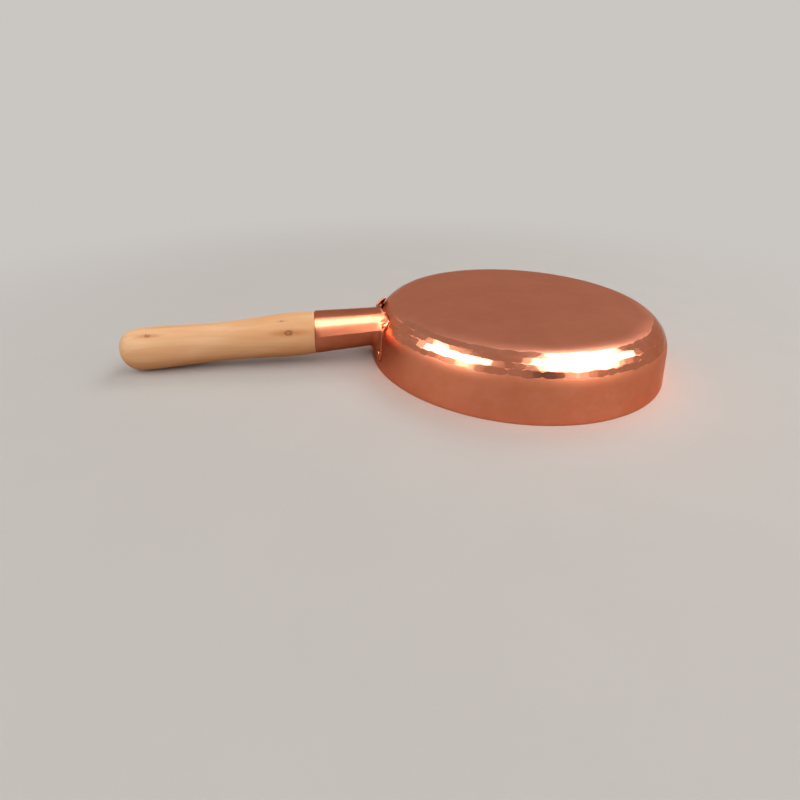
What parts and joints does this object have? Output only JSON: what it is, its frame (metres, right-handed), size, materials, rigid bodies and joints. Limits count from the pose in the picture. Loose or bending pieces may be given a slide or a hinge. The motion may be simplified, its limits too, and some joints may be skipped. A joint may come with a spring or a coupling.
{
  "type": "frying pan",
  "caption": "Round shallow copper frying pan with a hammered corner, a riveted conical handle socket and a turned wooden handle.",
  "frame": {"origin": "centre of the rim's plane, on the pan's own axis", "axes": "+Z out of the base, away from the rim, so the pan stands base up on its rim; the handle runs along -X; turned over about X for cooking"},
  "size_m": [0.4307, 0.2398, 0.045],
  "materials": {
    "copper_pan": "bare copper sheet, brushed base, softly polished wall, bright planished hammer marks round the corner",
    "copper_socket": "bare copper sheet, rolled and polished, with a lap seam",
    "copper_rivet": "bare copper, hammered heads",
    "handle_wood": "pale close-grained wood with small knots, sanded and unvarnished",
    "copper_pin": "bare copper nail head"
  },
  "bodies": {
    "root": {"pan_body": "copper_pan", "handle_socket": "copper_socket", "rivet_lower_near": "copper_rivet", "rivet_lower_far": "copper_rivet", "rivet_upper_near": "copper_rivet", "rivet_upper_far": "copper_rivet", "wooden_handle": "handle_wood", "handle_pin": "copper_pin"}
  },
  "joints": []
}
